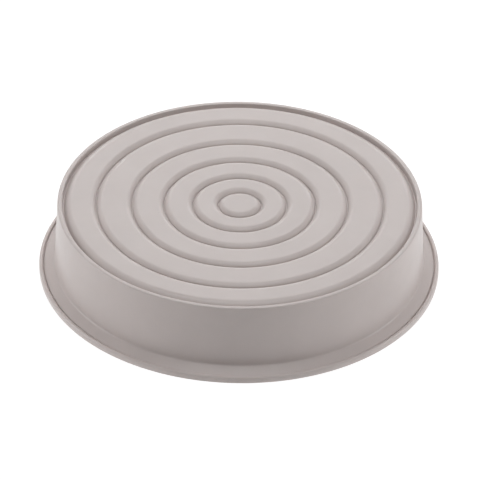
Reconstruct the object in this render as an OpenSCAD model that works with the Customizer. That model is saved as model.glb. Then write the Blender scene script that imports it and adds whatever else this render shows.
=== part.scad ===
// Round silicone baking mould, standing upside down on its rim.
// The origin is the centre of the rim's resting face, and +Z runs up to the base.
// The silicone is one moulding: wall, ringed base, lip round the base, flared rim and bead.
// A steel hoop is sealed in the bead. Each piece is a section turned about Z, drawn here
// with radius across and height up.

/* [Bowl] */
// Inside diameter of the wall, carried down to the resting plane
mouth_d = 240; // [200:1:280]
// Overall height, from the rim's resting face to the top of the base
mould_h = 51; // [44:1:60]
// Thickness of the side wall
wall_t = 2; // [1.6:0.1:2.4]
// Draft of the side wall, in degrees from upright
wall_draft = 2.4; // [1:0.2:4]
// Thickness of the base, which is even all over its rings
base_t = 2; // [1.6:0.1:2.4]

/* [Base rings] */
// Depth of the ring grooves below the flat tops of the rings
groove_depth = 2.3; // [2.1:0.1:2.5]
// Radius of the shoulder between a ring's flat top and the channel of its groove
shoulder_r = 7; // [6.6:0.1:8]
// Distance from the middle of a groove to the flat top of the ring beside it
shoulder_w = 4.9; // [4.6:0.1:5.1]
// Radius of the channel at the bottom of a groove
channel_r = 1.2; // [1:0.1:1.3]

/* [Lip round the base] */
// Width of the lip's flat top
lip_flat_w = 1.1; // [0.6:0.1:1.5]
// Radius of the lip's outer edge
lip_outer_r = 1.1; // [0.8:0.1:1.4]
// Radius of the lip's inner edge
lip_inner_r = 0.9; // [0.6:0.1:1.2]
// Depth of the groove inside the lip
lip_groove_depth = 3.2; // [2.9:0.1:3.4]
// Distance from the middle of that groove to the flat top of the ring beside it
lip_shoulder_w = 5.9; // [5.7:0.1:6]
// Radius of the channel at the bottom of that groove
lip_channel_r = 0.9; // [0.8:0.1:1.1]

/* [Rim] */
// Width of the rim, from the wall's outer face at the resting plane to the rim's outer edge
rim_w = 9.8; // [9:0.2:12]
// Slope of the flared rim, in degrees from level
flare_slope = 28; // [22:1:32]
// Thickness of the flared rim
flare_t = 2; // [1.7:0.1:2.2]
// Radius of the fillet between the wall and the upper face of the rim
foot_fillet_r = 1.6; // [1.2:0.1:2.5]
// Radius of the mouth's edge, between the wall's inner face and the under face of the rim
mouth_edge_r = 2; // [1.5:0.1:3]

/* [Bead] */
// Width of the bead along the rim's outer edge
bead_w = 2.8; // [2.6:0.1:3.2]
// Height of the bead above the resting plane
bead_h = 4.5; // [4.3:0.1:4.8]
// How far the bead stands above the rim's upper face beside it
bead_proud = 1.1; // [0.9:0.1:1.3]
// Width of the narrow crease between the bead and the rim's upper face
crease_w = 0.5; // [0.4:0.1:0.7]
// Depth of the crease below the top of the bead
crease_depth = 1.8; // [1.6:0.1:2]
// Radius of the bead's two edges at the resting plane
bead_edge_r = 0.6; // [0.4:0.1:0.7]
// Radius of the fillet between the bead and the under face of the rim
bead_root_r = 0.4; // [0.3:0.1:0.5]

/* [Hoop] */
// Diameter of the steel wire sealed in the bead
hoop_wire_d = 1.6; // [1.2:0.1:1.7]
// Gap all round the wire, which the silicone doesn't bond to
hoop_gap = 0.02; // [0.01:0.01:0.05]

/* [Hidden] */
$fn = 180;

// How far each cut and fill runs past the outline that it shapes
overrun = 0.5;

// Radius of each ring groove, as a share of the radius of the groove inside the lip
groove_radius_shares = [0.1217, 0.2657, 0.4297, 0.6117, 0.8144];

// Level of the base's under face, between the grooves and below the lip's groove
ceiling_z = mould_h - base_t;
ceiling_low_z = ceiling_z - lip_groove_depth;

// Radius of the wall's inner and outer face at a height
function inner_r(z) = mouth_d / 2 - z * tan(wall_draft);
function outer_r(z) = inner_r(z) + wall_t / cos(wall_draft);

// Outer edge of the rim, middle of the crease at the bead's inner side, and centre of the bead
rim_r = outer_r(0) + rim_w;
crease_r = rim_r - bead_w;
bead_r = rim_r - bead_w / 2;
bead_round_z = bead_h - bead_w / 2;
hoop_z = bead_h / 2;

// Height of the flared rim's upper and under face at a radius
function flare_top_z(r) = bead_h - bead_proud + (crease_r - r) * tan(flare_slope);
function flare_under_z(r) = flare_top_z(r) - flare_t / cos(flare_slope);

// Height of a round that touches a face of the wall and a face of the flared rim above it.
// The two radii are those of the wall's face at the resting plane and of the round.
function corner_z(flare_z, wall_r, round_r) =
    (flare_z + round_r / cos(flare_slope) - round_r * tan(flare_slope) / cos(wall_draft)
        - wall_r * tan(flare_slope)) / (1 - tan(flare_slope) * tan(wall_draft));

// Centre of the lip's outer edge, and radius of the groove inside the lip
lip_edge_z = mould_h - lip_outer_r;
lip_edge_r = outer_r(lip_edge_z) - lip_outer_r / cos(wall_draft);
lip_groove_r = lip_edge_r - lip_flat_w - lip_inner_r - lip_channel_r;
groove_radii = [for (share = groove_radius_shares) share * lip_groove_r];

// The round inner corner fills the width between the wall and the lip's groove
inner_corner_r = (inner_r(ceiling_low_z) - lip_groove_r) / (1 / cos(wall_draft) - tan(wall_draft));

function direction(angle) = [cos(angle), sin(angle)];

// The area between a round of the section and its two tangents, a little past both.
// It is cut from a sharp edge to round it, or added to a corner to fill it.
module spandrel(centre, r, from, to) {
    half = (to - from) / 2;
    reach = r + overrun;
    difference() {
        polygon([
            centre,
            centre + reach * direction(from),
            centre + reach / cos(half) * direction(from + half),
            centre + reach * direction(to)
        ]);
        translate(centre)
        circle(r = r);
    }
}

// The round shoulder beside a groove, and the channel at a groove's bottom. Both are drawn in
// a frame over the middle of the groove, level with the top of what stands beside it. The top
// of the base has no offset, and its under face is offset by the thickness of the base.
module shoulder(side, offset) {
    translate([side, offset - shoulder_r])
    circle(r = shoulder_r - offset);
}

module channel(depth, r, offset) {
    translate([0, offset + r - depth])
    circle(r = r + offset);
}

// A groove between two rings
module ring_groove(offset) {
    centre_depth = groove_depth - channel_r;
    difference() {
        translate([-shoulder_w, -centre_depth])
        square([2 * shoulder_w, centre_depth + overrun]);
        shoulder(-shoulder_w, offset);
        shoulder(shoulder_w, offset);
    }
    channel(groove_depth, channel_r, offset);
}

// The groove inside the lip, whose outer side is upright
module lip_groove(offset) {
    centre_depth = lip_groove_depth - lip_channel_r;
    difference() {
        translate([-lip_shoulder_w, -centre_depth])
        square([lip_shoulder_w + lip_channel_r, centre_depth + overrun]);
        shoulder(-lip_shoulder_w, offset);
    }
    channel(lip_groove_depth, lip_channel_r, offset);
}

// Everything inside the wall's outer face, with the grooves cut in the top
module bowl_outline() {
    foot_z = flare_under_z(mouth_d / 2);
    difference() {
        polygon([
            [0, foot_z],
            [outer_r(foot_z), foot_z],
            [outer_r(mould_h), mould_h],
            [0, mould_h]
        ]);
        spandrel([lip_edge_r, lip_edge_z], lip_outer_r, wall_draft, 90);
        for (r = groove_radii)
            translate([r, mould_h])
            ring_groove(0);
        translate([lip_groove_r, mould_h]) {
            lip_groove(0);
            spandrel([lip_channel_r + lip_inner_r, -lip_inner_r], lip_inner_r, 90, 180);
        }
    }
}

module rim_outline() {
    fillet_z = corner_z(flare_top_z(0), outer_r(0), foot_fillet_r);
    root_r = crease_r - bead_root_r;
    polygon([
        [mouth_d / 2, flare_under_z(mouth_d / 2)],
        [bead_r, flare_under_z(bead_r)],
        [bead_r, flare_top_z(bead_r)],
        [mouth_d / 2, flare_top_z(mouth_d / 2)]
    ]);
    spandrel([outer_r(fillet_z) + foot_fillet_r / cos(wall_draft), fillet_z],
        foot_fillet_r, 180 + wall_draft, 270 - flare_slope);
    spandrel([root_r, flare_under_z(root_r) - bead_root_r / cos(flare_slope)],
        bead_root_r, 0, 90 - flare_slope);
    difference() {
        translate([crease_r, 0])
        square([bead_w, bead_round_z]);
        spandrel([rim_r - bead_edge_r, bead_edge_r], bead_edge_r, 270, 360);
        spandrel([crease_r + bead_edge_r, bead_edge_r], bead_edge_r, 180, 270);
    }
    translate([bead_r, bead_round_z])
    circle(d = bead_w);
}

// The crease, which lies over the bead's inner side and has a round bottom
module crease_outline() {
    centre_depth = crease_depth - crease_w / 2;
    translate([crease_r, bead_h]) {
        translate([-crease_w / 2, -centre_depth])
        square([crease_w, centre_depth + overrun]);
        channel(crease_depth, crease_w / 2, 0);
    }
}

// The space for the cake, whose ceiling runs parallel to the top of the base
module cavity_outline() {
    round_z = corner_z(flare_under_z(0), inner_r(0), mouth_edge_r);
    difference() {
        polygon([
            [0, 0],
            [inner_r(0), 0],
            [inner_r(ceiling_low_z), ceiling_low_z],
            [lip_groove_r, ceiling_low_z],
            [lip_groove_r, ceiling_z],
            [0, ceiling_z]
        ]);
        for (r = groove_radii)
            translate([r, ceiling_z])
            ring_groove(base_t);
        translate([lip_groove_r, ceiling_z])
        lip_groove(base_t);
        spandrel([lip_groove_r, ceiling_low_z - inner_corner_r], inner_corner_r, wall_draft, 90);
    }
    spandrel([inner_r(round_z) + mouth_edge_r / cos(wall_draft), round_z],
        mouth_edge_r, 180 + wall_draft, 270 - flare_slope);
}

module hoop_outline(wire_d) {
    translate([bead_r, hoop_z])
    circle(d = wire_d);
}

module mould() {
    color("#c8bfbb")
    rotate_extrude()
    difference() {
        union() {
            bowl_outline();
            rim_outline();
        }
        crease_outline();
        cavity_outline();
        hoop_outline(hoop_wire_d + 2 * hoop_gap);
    }
}

module rim_hoop() {
    color("#b9bcc0")
    rotate_extrude()
    hoop_outline(hoop_wire_d);
}

mould();
rim_hoop();
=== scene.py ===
# Round silicone baking mould, standing upside down on its rim, seen from above its ringed base.
# The silicone is one moulding, and a steel hoop is sealed in the bead along its rim.
import math

import bpy
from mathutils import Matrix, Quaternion, Vector


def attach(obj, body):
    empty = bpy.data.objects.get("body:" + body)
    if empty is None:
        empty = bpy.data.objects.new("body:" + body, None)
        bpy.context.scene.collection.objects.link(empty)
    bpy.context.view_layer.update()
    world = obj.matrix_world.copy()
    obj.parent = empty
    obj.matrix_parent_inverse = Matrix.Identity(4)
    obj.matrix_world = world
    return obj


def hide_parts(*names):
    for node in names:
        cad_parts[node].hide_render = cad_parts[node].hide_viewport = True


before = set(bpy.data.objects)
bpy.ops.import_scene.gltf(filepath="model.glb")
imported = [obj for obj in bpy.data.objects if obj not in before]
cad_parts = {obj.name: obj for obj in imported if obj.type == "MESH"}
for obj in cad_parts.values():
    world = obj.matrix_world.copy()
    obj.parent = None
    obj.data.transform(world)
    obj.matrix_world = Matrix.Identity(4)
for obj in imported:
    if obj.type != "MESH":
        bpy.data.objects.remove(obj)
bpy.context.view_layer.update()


# Photo stand: a camera far off with a long lens, looking down at the mould and leaning a
# little. The stand's floor and surroundings show as plain white paper.
MM = 0.001
CAMERA_DISTANCE = 6000 * MM
CAMERA_HEIGHT_ANGLE = math.radians(34.9)
CAMERA_LEAN = math.radians(0.8)
CAMERA_AIM = Vector((0.46, 0.0, 21.55)) * MM
CAMERA_LENS = 683       # mm
CAMERA_SENSOR_W = 36    # mm
CAMERA_NEAR_LIMIT = 1   # metres
CAMERA_FAR_LIMIT = 20   # metres, past the far edge of the floor

scene = bpy.context.scene
scene.view_settings.view_transform = "Standard"
camera_data = bpy.data.cameras.new("camera")
camera_data.sensor_width = CAMERA_SENSOR_W
camera_data.lens = CAMERA_LENS
camera_data.clip_start = CAMERA_NEAR_LIMIT
camera_data.clip_end = CAMERA_FAR_LIMIT
camera = bpy.data.objects.new("camera", camera_data)
scene.collection.objects.link(camera)
to_camera = Vector((0, -math.cos(CAMERA_HEIGHT_ANGLE), math.sin(CAMERA_HEIGHT_ANGLE)))
camera.location = CAMERA_AIM + to_camera * CAMERA_DISTANCE
camera.rotation_mode = "QUATERNION"
camera.rotation_quaternion = (Quaternion(to_camera, CAMERA_LEAN)
                              @ (-to_camera).to_track_quat("-Z", "Y"))
scene.camera = camera


# White paper: matt coated card, lit evenly from the studio, so that it throws light up at the
# mould's wall. The camera sees it as white, and a share of its own shade stays in, so that
# the mould keeps its shadow where it stands.
FLOOR_HALF_WIDTH = 3000 * MM
WHITE = [1.0, 1.0, 1.0, 1.0]
PAPER_COLOUR = "#cbcbcb"
PAPER_GLOW = 0.55         # light that it throws up, besides what it reflects
PAPER_SEEN_GLOW = 0.9     # white that the camera sees whatever falls on it
PAPER_SHADE_SHARE = 0.25  # share of its own shade that the camera sees on top of that


def linear(hex_colour):
    """An sRGB hex colour as a linear RGBA colour."""
    channels = [int(hex_colour[i:i + 2], 16) / 255 for i in (1, 3, 5)]
    return [c / 12.92 if c <= 0.04045 else ((c + 0.055) / 1.055) ** 2.4 for c in channels] + [1.0]


def add_node(tree, kind, inputs=None, **settings):
    """Adds a node with its settings, and sets or links its inputs by name or number."""
    made = tree.nodes.new(kind)
    for name, value in settings.items():
        setattr(made, name, value)
    for name, value in (inputs or {}).items():
        if isinstance(value, bpy.types.NodeSocket):
            tree.links.new(value, made.inputs[name])
        else:
            made.inputs[name].default_value = value
    return made


def new_material(name):
    """An empty material and its node tree."""
    material = bpy.data.materials.new(name)
    material.use_nodes = True
    material.node_tree.nodes.clear()
    return material, material.node_tree


def seen_directly(tree):
    """1 for what the camera sees, straight on, mirrored or through glass, and 0 for light."""
    path = add_node(tree, "ShaderNodeLightPath").outputs
    either = add_node(tree, "ShaderNodeMath", {0: path["Is Camera Ray"], 1: path["Is Glossy Ray"]},
                      operation="MAXIMUM").outputs[0]
    return add_node(tree, "ShaderNodeMath", {0: either, 1: path["Is Transmission Ray"]},
                    operation="MAXIMUM").outputs[0]


paper, tree = new_material("white_card")
card_matt = add_node(tree, "ShaderNodeBsdfDiffuse", {"Color": linear(PAPER_COLOUR)})
card_glow = add_node(tree, "ShaderNodeEmission", {"Color": WHITE, "Strength": PAPER_GLOW})
card = add_node(tree, "ShaderNodeAddShader", {0: card_matt.outputs[0], 1: card_glow.outputs[0]})
card_shade = add_node(tree, "ShaderNodeBsdfDiffuse", {"Color": [PAPER_SHADE_SHARE] * 3 + [1.0]})
glow = add_node(tree, "ShaderNodeEmission", {"Color": WHITE, "Strength": PAPER_SEEN_GLOW})
card_seen = add_node(tree, "ShaderNodeAddShader", {0: card_shade.outputs[0], 1: glow.outputs[0]})
shown = add_node(tree, "ShaderNodeMixShader", {"Fac": seen_directly(tree), 1: card.outputs[0],
                                               2: card_seen.outputs[0]})
add_node(tree, "ShaderNodeOutputMaterial", {"Surface": shown.outputs[0]})

floor_mesh = bpy.data.meshes.new("floor")
w = FLOOR_HALF_WIDTH
floor_mesh.from_pydata([(-w, -w, 0), (w, -w, 0), (w, w, 0), (-w, w, 0)], [], [(0, 1, 2, 3)])
floor_mesh.materials.append(paper)
floor = bpy.data.objects.new("floor", floor_mesh)
scene.collection.objects.link(floor)


# Studio light: soft boxes behind the mould, at either side and overhead, in a dim surround,
# so that the faces turned to the camera are the darkest. The camera sees the surround as
# white, like the paper.
SURROUND = 0.02
SOFT_BOX_AIM = Vector((0, 0, 30)) * MM
SOFT_BOXES = {  # name: (place, width and height in metres, and watts)
    "back": ((0.0, 1.7, 0.9), 1.4, 1.0, 10.6),
    "left": ((-1.7, 0.0, 0.55), 0.9, 0.8, 11.5),
    "right": ((1.7, 0.0, 0.55), 0.9, 0.8, 11.6),
    "top": ((0.0, 0.0, 1.8), 1.2, 1.2, 14.6),
}

world = bpy.data.worlds.new("studio")
scene.world = world
world.use_nodes = True
tree = world.node_tree
tree.nodes.clear()
light = add_node(tree, "ShaderNodeBackground", {"Color": WHITE, "Strength": SURROUND})
white = add_node(tree, "ShaderNodeBackground", {"Color": WHITE, "Strength": 1.0})
shown = add_node(tree, "ShaderNodeMixShader", {"Fac": seen_directly(tree), 1: light.outputs[0],
                                               2: white.outputs[0]})
add_node(tree, "ShaderNodeOutputWorld", {"Surface": shown.outputs[0]})

for name, (spot, width, height, watts) in SOFT_BOXES.items():
    lamp = bpy.data.lights.new("soft_box_" + name, "AREA")
    lamp.shape = "RECTANGLE"
    lamp.size = width
    lamp.size_y = height
    lamp.energy = watts
    soft_box = bpy.data.objects.new("soft_box_" + name, lamp)
    scene.collection.objects.link(soft_box)
    soft_box.location = spot
    soft_box.rotation_mode = "QUATERNION"
    soft_box.rotation_quaternion = (SOFT_BOX_AIM - Vector(spot)).to_track_quat("-Z", "Y")
    soft_box.visible_camera = False


# Rim hoop: a ring of drawn steel wire, butt welded, laid in the tool before the silicone is
# pressed. The bead closes round it, so it holds the soft rim to a circle and isn't seen.
MM_IN_METRE = 1000
WIRE_COLOUR = "#cbccce"
WIRE_MARK_SIZE = 0.08           # mm, of the marks that the die leaves
WIRE_BURNISHED_ROUGHNESS = 0.24
WIRE_DULL_ROUGHNESS = 0.42

steel, tree = new_material("drawn_steel_wire")
# Bright drawn wire: a grey metal whose gloss the die's fine marks break up.
place = add_node(tree, "ShaderNodeTexCoord").outputs["Object"]
marks = add_node(tree, "ShaderNodeTexNoise", {"Vector": place,
                                              "Scale": MM_IN_METRE / WIRE_MARK_SIZE,
                                              "Detail": 2.0})
worn = add_node(tree, "ShaderNodeMapRange", {"Value": marks.outputs["Fac"],
                                             "To Min": WIRE_BURNISHED_ROUGHNESS,
                                             "To Max": WIRE_DULL_ROUGHNESS})
finish = add_node(tree, "ShaderNodeBsdfPrincipled", {"Base Color": linear(WIRE_COLOUR),
                                                     "Metallic": 1.0,
                                                     "Roughness": worn.outputs["Result"]})
add_node(tree, "ShaderNodeOutputMaterial", {"Surface": finish.outputs[0]})
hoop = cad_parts["rim_hoop"]
hoop.data.materials.clear()
hoop.data.materials.append(steel)


# Silicone moulding: wall, ringed base, lip round the base, flared rim and bead in one piece
# of compression-moulded silicone rubber, cured in a turned and blasted steel tool. Its
# section is drawn in mm, radius and height, and turned about the axis.
MOUTH_R = 120.0
MOULD_H = 51.0
WALL_T = 2.0
WALL_DRAFT = 2.4        # degrees from upright
BASE_T = 2.0
GROOVE_RADII = (14.11, 30.80, 49.81, 70.90, 94.40)
GROOVE_DEPTH = 2.4
SHOULDER_R = 5.0        # the round between a ring's flat top and its groove
SHOULDER_W = 4.3        # from the flat top to the middle of the groove
CHANNEL_R = 0.5         # the round bottom of the groove
LIP_FLAT_W = 1.4
LIP_OUTER_R = 1.1
LIP_INNER_R = 0.6
LIP_SIDE_DRAFT = 12.0   # degrees from upright, of the lip's inner side
LIP_GROOVE_DEPTH = 3.4
LIP_SHOULDER_R = 6.5
LIP_SHOULDER_W = 5.9
LIP_CHANNEL_R = 0.5
RIM_W = 9.8
FLARE_SLOPE = 28.0      # degrees from level
FLARE_T = 2.0
FOOT_FILLET_R = 1.6
MOUTH_EDGE_R = 2.0
BEAD_W = 2.8
BEAD_H = 4.5
BEAD_PROUD = 1.1
BEAD_EDGE_R = 0.6
BEAD_ROOT_R = 0.4
CREASE_W = 0.5
CREASE_DEPTH = 1.8
PARTING_PROUD = 0.05
PARTING_W = 0.3
HOOP_SPACE_R = 0.82
EDGE_EASE = 0.25        # how far a tool edge is eased
ARC_STEP = 6.0          # degrees of an arc between two points of the section
FACE_HOLD = 0.4         # how near a flat face's ends it is held flat for the shading
HELD_FACE_W = 1.6       # width above which a flat face is held
SAME_POINT = 0.001      # two points nearer than this are one
SHARP_ANGLE = 35.0      # degrees between faces above which their edge is shaded sharp
TURN_STEPS = 288        # faces round the axis

slope = math.tan(math.radians(FLARE_SLOPE))
flare_cos = math.cos(math.radians(FLARE_SLOPE))
draft = math.tan(math.radians(WALL_DRAFT))
draft_cos = math.cos(math.radians(WALL_DRAFT))


def inner_r(z):
    """Radius of the wall's inner face."""
    return MOUTH_R - z * draft


def outer_r(z):
    """Radius of the wall's outer face."""
    return inner_r(z) + WALL_T / draft_cos


rim_r = outer_r(0) + RIM_W
crease_r = rim_r - BEAD_W
bead_r = rim_r - BEAD_W / 2
bead_round_z = BEAD_H - BEAD_W / 2


def flare_top_z(r):
    """Height of the flared rim's upper face."""
    return BEAD_H - BEAD_PROUD + (crease_r - r) * slope


def flare_under_z(r):
    """Height of the flared rim's under face."""
    return flare_top_z(r) - FLARE_T / flare_cos


def corner_z(flare_z, wall_r, r):
    """Height of a round that touches the wall and the flared rim."""
    rise = flare_z + r / flare_cos - r * slope / draft_cos - wall_r * slope
    return rise / (1 - slope * draft)


def arc(centre, r, start, end):
    """Points along an arc, from one angle to another."""
    steps = max(2, math.ceil(abs(end - start) / ARC_STEP))
    angles = [math.radians(start + (end - start) * i / steps) for i in range(steps + 1)]
    return [(centre[0] + r * math.cos(a), centre[1] + r * math.sin(a)) for a in angles]


def meeting(first, first_r, second, second_r):
    """The higher crossing of two circles, as its angle on each of them."""
    dx, dy = second[0] - first[0], second[1] - first[1]
    apart = math.hypot(dx, dy)
    along = (first_r ** 2 - second_r ** 2 + apart ** 2) / (2 * apart)
    aside = math.sqrt(first_r ** 2 - along ** 2)
    x = first[0] + (along * dx - aside * dy) / apart
    y = first[1] + (along * dy + aside * dx) / apart
    return [math.degrees(math.atan2(y - c[1], x - c[0])) % 360 for c in (first, second)]


def bend(start, edge, end):
    """Five points of a short curve from one face over an edge to another face."""
    return [tuple((1 - t) ** 2 * s + 2 * t * (1 - t) * m + t ** 2 * e
                  for s, m, e in zip(start, edge, end)) for t in (0, 0.25, 0.5, 0.75, 1)]


def eased(before, after):
    """Joins two arcs with a short curve over the edge where they meet."""
    edge = before[-1]
    start = next(p for p in reversed(before) if math.dist(p, edge) >= EDGE_EASE)
    end = next(p for p in after if math.dist(p, edge) >= EDGE_EASE)
    return before[:before.index(start)] + bend(start, edge, end) + after[after.index(end) + 1:]


def fall(r, depth, shoulder_r, shoulder_w, channel_r, offset):
    """From a ring's flat top over its wide shoulder into the tight bottom of a groove."""
    shoulder = (r - shoulder_w, MOULD_H - shoulder_r)
    channel = (r, MOULD_H + channel_r - depth)
    over, into = meeting(shoulder, shoulder_r - offset, channel, channel_r + offset)
    return eased(arc(shoulder, shoulder_r - offset, 90, over),
                 arc(channel, channel_r + offset, into, 270))


def base_outline(offset):
    """The ringed base from its centre to the bottom of the groove inside the lip."""
    points = [(0.0, MOULD_H - offset)]
    for r in GROOVE_RADII:
        down = fall(r, GROOVE_DEPTH, SHOULDER_R, SHOULDER_W, CHANNEL_R, offset)
        points += down + [(2 * r - x, z) for x, z in reversed(down)]
    return points + fall(lip_groove_r, LIP_GROOVE_DEPTH, LIP_SHOULDER_R, LIP_SHOULDER_W,
                         LIP_CHANNEL_R, offset)


# The lip and its groove, whose outer side leans out by its draft
lip_edge_z = MOULD_H - LIP_OUTER_R
lip_edge_r = outer_r(lip_edge_z) - LIP_OUTER_R / draft_cos
lip_edge_at = lip_edge_r - LIP_FLAT_W
lip_side = math.radians(LIP_SIDE_DRAFT)
lip_side_h = LIP_GROOVE_DEPTH - LIP_INNER_R - LIP_CHANNEL_R
lip_groove_r = lip_edge_at - (LIP_INNER_R + LIP_CHANNEL_R
                              + lip_side_h * math.sin(lip_side)) / math.cos(lip_side)

# The round inside corner between wall and base, and the rounds at the foot of the wall
low_z = MOULD_H - BASE_T - LIP_GROOVE_DEPTH
corner_r = (inner_r(low_z) - lip_groove_r) / (1 / draft_cos - draft)
foot_z = corner_z(flare_top_z(0), outer_r(0), FOOT_FILLET_R)
mouth_z = corner_z(flare_under_z(0), inner_r(0), MOUTH_EDGE_R)

# The crease: the flared rim's edge beside it, and where it meets the round of the bead
half_crease = CREASE_W / 2
crease_in_r = crease_r - half_crease
crease_z = BEAD_H - CREASE_DEPTH + half_crease
flare_edge = bend((crease_in_r - half_crease, flare_top_z(crease_in_r - half_crease)),
                  (crease_in_r, flare_top_z(crease_in_r)),
                  (crease_in_r, flare_top_z(crease_in_r) - half_crease))
flank_angle = math.degrees(math.acos((crease_r + half_crease - bead_r) / (BEAD_W / 2)))

# The bead's root under the flared rim, and the parting line that the tool leaves round it
root_r = crease_r - BEAD_ROOT_R
parting_z = BEAD_H / 2
parting_foot = PARTING_W / 2
parting_crest = PARTING_W / 6

outline = (
    base_outline(0)
    + arc((lip_groove_r, MOULD_H - LIP_GROOVE_DEPTH + LIP_CHANNEL_R), LIP_CHANNEL_R,
          270, 360 - LIP_SIDE_DRAFT)
    + arc((lip_edge_at, MOULD_H - LIP_INNER_R), LIP_INNER_R, 180 - LIP_SIDE_DRAFT, 90)
    + arc((lip_edge_r, lip_edge_z), LIP_OUTER_R, 90, WALL_DRAFT)
    + arc((outer_r(foot_z) + FOOT_FILLET_R / draft_cos, foot_z), FOOT_FILLET_R,
          180 + WALL_DRAFT, 270 - FLARE_SLOPE)
    + flare_edge
    + arc((crease_r, crease_z), half_crease, 180, 360)
    + arc((bead_r, bead_round_z), BEAD_W / 2, flank_angle, 0)
    + [(rim_r - PARTING_PROUD, parting_z + parting_foot), (rim_r, parting_z + parting_crest),
       (rim_r, parting_z - parting_crest), (rim_r - PARTING_PROUD, parting_z - parting_foot)]
    + arc((rim_r - BEAD_EDGE_R, BEAD_EDGE_R), BEAD_EDGE_R, 0, -90)
    + arc((crease_r + BEAD_EDGE_R, BEAD_EDGE_R), BEAD_EDGE_R, 270, 180)
    + arc((root_r, flare_under_z(root_r) - BEAD_ROOT_R / flare_cos), BEAD_ROOT_R,
          0, 90 - FLARE_SLOPE)
    + arc((inner_r(mouth_z) + MOUTH_EDGE_R / draft_cos, mouth_z), MOUTH_EDGE_R,
          270 - FLARE_SLOPE, 180 + WALL_DRAFT)
    + arc((lip_groove_r, low_z - corner_r), corner_r, WALL_DRAFT, 90)
    + base_outline(BASE_T)[::-1]
)
hoop_space = arc((bead_r, BEAD_H / 2), HOOP_SPACE_R, 0, 360)[:-1]


def held(loop):
    """Adds points near both ends of each wide flat face, which hold its shading flat."""
    points = loop[:1]
    for start, end in zip(loop, loop[1:]):
        width = math.dist(start, end)
        if width > HELD_FACE_W:
            for share in (FACE_HOLD / width, 1 - FACE_HOLD / width):
                points.append(tuple(s + (e - s) * share for s, e in zip(start, end)))
        points.append(end)
    return points


def turned(name, loops):
    """Turns closed or axis-to-axis sections about Z into one mesh, in metres."""
    points, faces = [], []
    for loop in loops:
        kept = held([p for i, p in enumerate(loop)
                     if i == 0 or math.dist(p, loop[i - 1]) > SAME_POINT])
        rings = []
        for r, z in kept:
            first = len(points)
            turns = 1 if r < SAME_POINT else TURN_STEPS
            for k in range(turns):
                angle = 2 * math.pi * k / TURN_STEPS
                points.append((r * math.cos(angle) * MM, r * math.sin(angle) * MM, z * MM))
            rings.append([first + k % turns for k in range(TURN_STEPS + 1)])
        if kept[0][0] > SAME_POINT:
            rings.append(rings[0])
        for one, other in zip(rings, rings[1:]):
            for k in range(TURN_STEPS):
                corners = (one[k], other[k], other[k + 1], one[k + 1])
                faces.append(tuple(dict.fromkeys(corners)))
    mesh = bpy.data.meshes.new(name)
    mesh.from_pydata(points, [], faces)
    mesh.update()
    mesh.shade_smooth()
    mesh.set_sharp_from_angle(angle=math.radians(SHARP_ANGLE))
    return mesh


silicone, tree = new_material("moulded_silicone")
# Pigmented silicone rubber from a blasted tool: matt and a little soft, since light enters
# its skin. Fine grain and slow waves from the tool, faint clouds in the pigment, and the
# dust that silicone draws. Sizes and heights are in mm.
SILICONE_COLOUR = "#cac0bd"
SMOOTH_ROUGHNESS, MATT_ROUGHNESS = 0.31, 0.37
NOISE_LOW, NOISE_HIGH = 0.3, 0.7  # between which a noise mostly lies
CLOUD_SIZE = 30      # clouds in the pigment
CLOUD_SHADE = 0.025  # share by which they darken and lighten it
WAVE_SIZE = 9        # slow waves that the cure leaves
WAVE_HEIGHT = 0.06
GRAIN_SIZE = 0.6     # the blasted grain, drawn coarser than real so that it shows
GRAIN_HEIGHT = 0.02
GRAIN_SHADE = 0.015
DUST_SPACING = 6     # between specks of dust through the surface
DUST_R = 0.28
DUST_CORE_R = 0.14   # within which a speck has its full shade
DUST_VALUE = 0.8     # of a speck, against the clean skin
SKIN_DEPTH = 0.9     # to which light travels below the surface
SKIN_SHARE = 0.15    # of the light that goes there
SKIN_SPREAD = (1.0, 0.8, 0.7)  # of red, green and blue light below the surface

place = add_node(tree, "ShaderNodeTexCoord").outputs["Object"]
clouds = add_node(tree, "ShaderNodeTexNoise", {"Vector": place, "Scale": MM_IN_METRE / CLOUD_SIZE,
                                               "Detail": 3.0, "Roughness": 0.55})
waves = add_node(tree, "ShaderNodeTexNoise", {"Vector": place, "Scale": MM_IN_METRE / WAVE_SIZE,
                                              "Detail": 1.0})
grain = add_node(tree, "ShaderNodeTexNoise", {"Vector": place, "Scale": MM_IN_METRE / GRAIN_SIZE,
                                              "Detail": 2.0, "Roughness": 0.6})
dust = add_node(tree, "ShaderNodeTexVoronoi", {"Vector": place,
                                               "Scale": MM_IN_METRE / DUST_SPACING})
cloud_value = add_node(tree, "ShaderNodeMapRange", {
    "Value": clouds.outputs["Fac"], "From Min": NOISE_LOW, "From Max": NOISE_HIGH,
    "To Min": 1 - CLOUD_SHADE, "To Max": 1 + CLOUD_SHADE})
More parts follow.
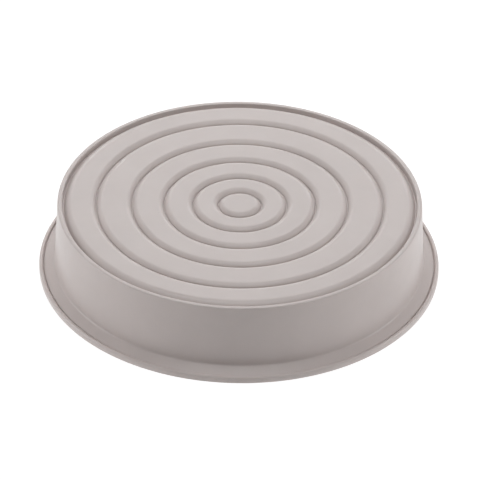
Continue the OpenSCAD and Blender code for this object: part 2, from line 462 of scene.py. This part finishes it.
grain_value = add_node(tree, "ShaderNodeMapRange", {
    "Value": grain.outputs["Fac"], "From Min": NOISE_LOW, "From Max": NOISE_HIGH,
    "To Min": 1 - GRAIN_SHADE, "To Max": 1 + GRAIN_SHADE})
dust_value = add_node(tree, "ShaderNodeMapRange", {
    "Value": dust.outputs["Distance"], "From Min": DUST_CORE_R / DUST_SPACING,
    "From Max": DUST_R / DUST_SPACING, "To Min": DUST_VALUE, "To Max": 1.0})
value = add_node(tree, "ShaderNodeMath", {0: cloud_value.outputs["Result"],
                                          1: grain_value.outputs["Result"]}, operation="MULTIPLY")
value = add_node(tree, "ShaderNodeMath", {0: value.outputs[0], 1: dust_value.outputs["Result"]},
                 operation="MULTIPLY")
colour = add_node(tree, "ShaderNodeHueSaturation", {"Color": linear(SILICONE_COLOUR),
                                                    "Value": value.outputs[0]})
matt = add_node(tree, "ShaderNodeMapRange", {
    "Value": waves.outputs["Fac"], "From Min": NOISE_LOW, "From Max": NOISE_HIGH,
    "To Min": SMOOTH_ROUGHNESS, "To Max": MATT_ROUGHNESS})
wave_bump = add_node(tree, "ShaderNodeBump", {"Height": waves.outputs["Fac"], "Strength": 1.0,
                                              "Distance": WAVE_HEIGHT * MM})
grain_bump = add_node(tree, "ShaderNodeBump", {"Height": grain.outputs["Fac"], "Strength": 1.0,
                                               "Distance": GRAIN_HEIGHT * MM,
                                               "Normal": wave_bump.outputs["Normal"]})
skin = add_node(tree, "ShaderNodeBsdfPrincipled", {
    "Base Color": colour.outputs["Color"],
    "Roughness": matt.outputs["Result"],
    "IOR": 1.41,
    "Normal": grain_bump.outputs["Normal"],
    "Subsurface Weight": SKIN_SHARE,
    "Subsurface Radius": SKIN_SPREAD,
    "Subsurface Scale": SKIN_DEPTH * MM,
})
add_node(tree, "ShaderNodeOutputMaterial", {"Surface": skin.outputs[0]})

mould = bpy.data.objects.new("silicone_mould", turned("silicone_mould", [outline, hoop_space]))
mould.data.materials.append(silicone)
scene.collection.objects.link(mould)
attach(mould, "root")
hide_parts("mould")
